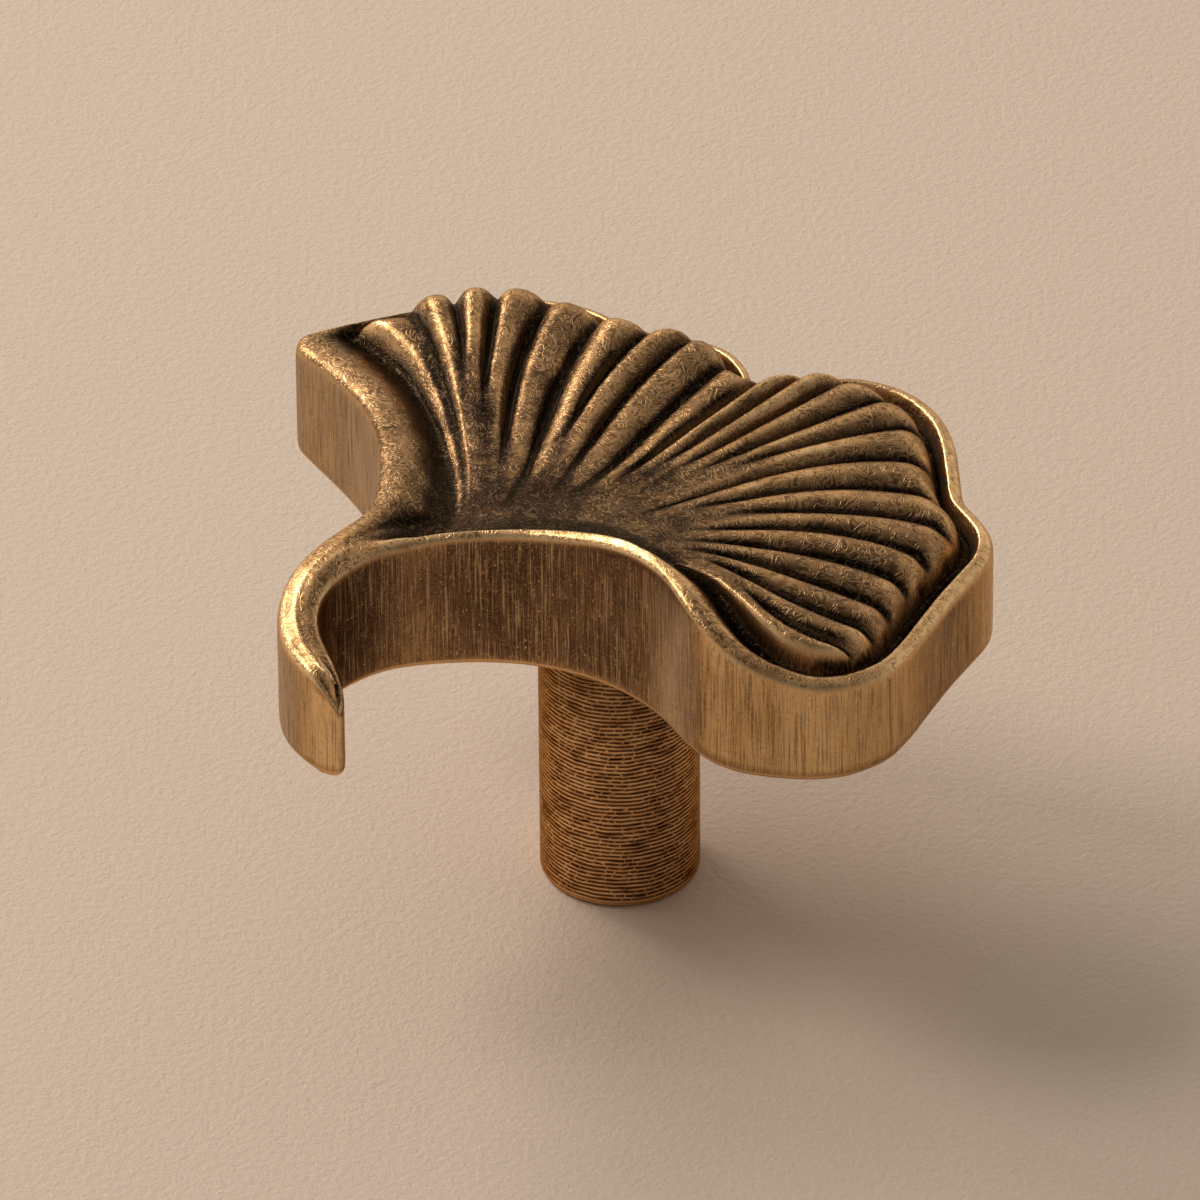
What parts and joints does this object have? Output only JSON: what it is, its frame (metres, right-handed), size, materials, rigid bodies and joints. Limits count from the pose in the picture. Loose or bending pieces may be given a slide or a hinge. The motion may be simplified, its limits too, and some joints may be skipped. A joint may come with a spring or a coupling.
{
  "type": "leaf shaped cabinet pull",
  "caption": "Cabinet pull with a ribbed fan leaf head and a curled stalk, standing on a round post with a blind screw hole in its foot.",
  "frame": {"origin": "centre of the post's foot, on the plane of the drawer front", "axes": "+Z along the post, away from the drawer front; +Y along the leaf, from its stalk to the middle of the fan's outer edge; +X towards the fan's lobe on the side to which the stalk curls"},
  "size_m": [0.0605, 0.0556, 0.0374],
  "materials": {
    "head_brass": "antiqued: dark in the valleys, rubbed bright on the ridges and edges, brushed walls",
    "post_brass": "antiqued, with fine turned rings"
  },
  "bodies": {
    "root": {"leaf_head": "head_brass", "post": "post_brass"}
  },
  "joints": []
}
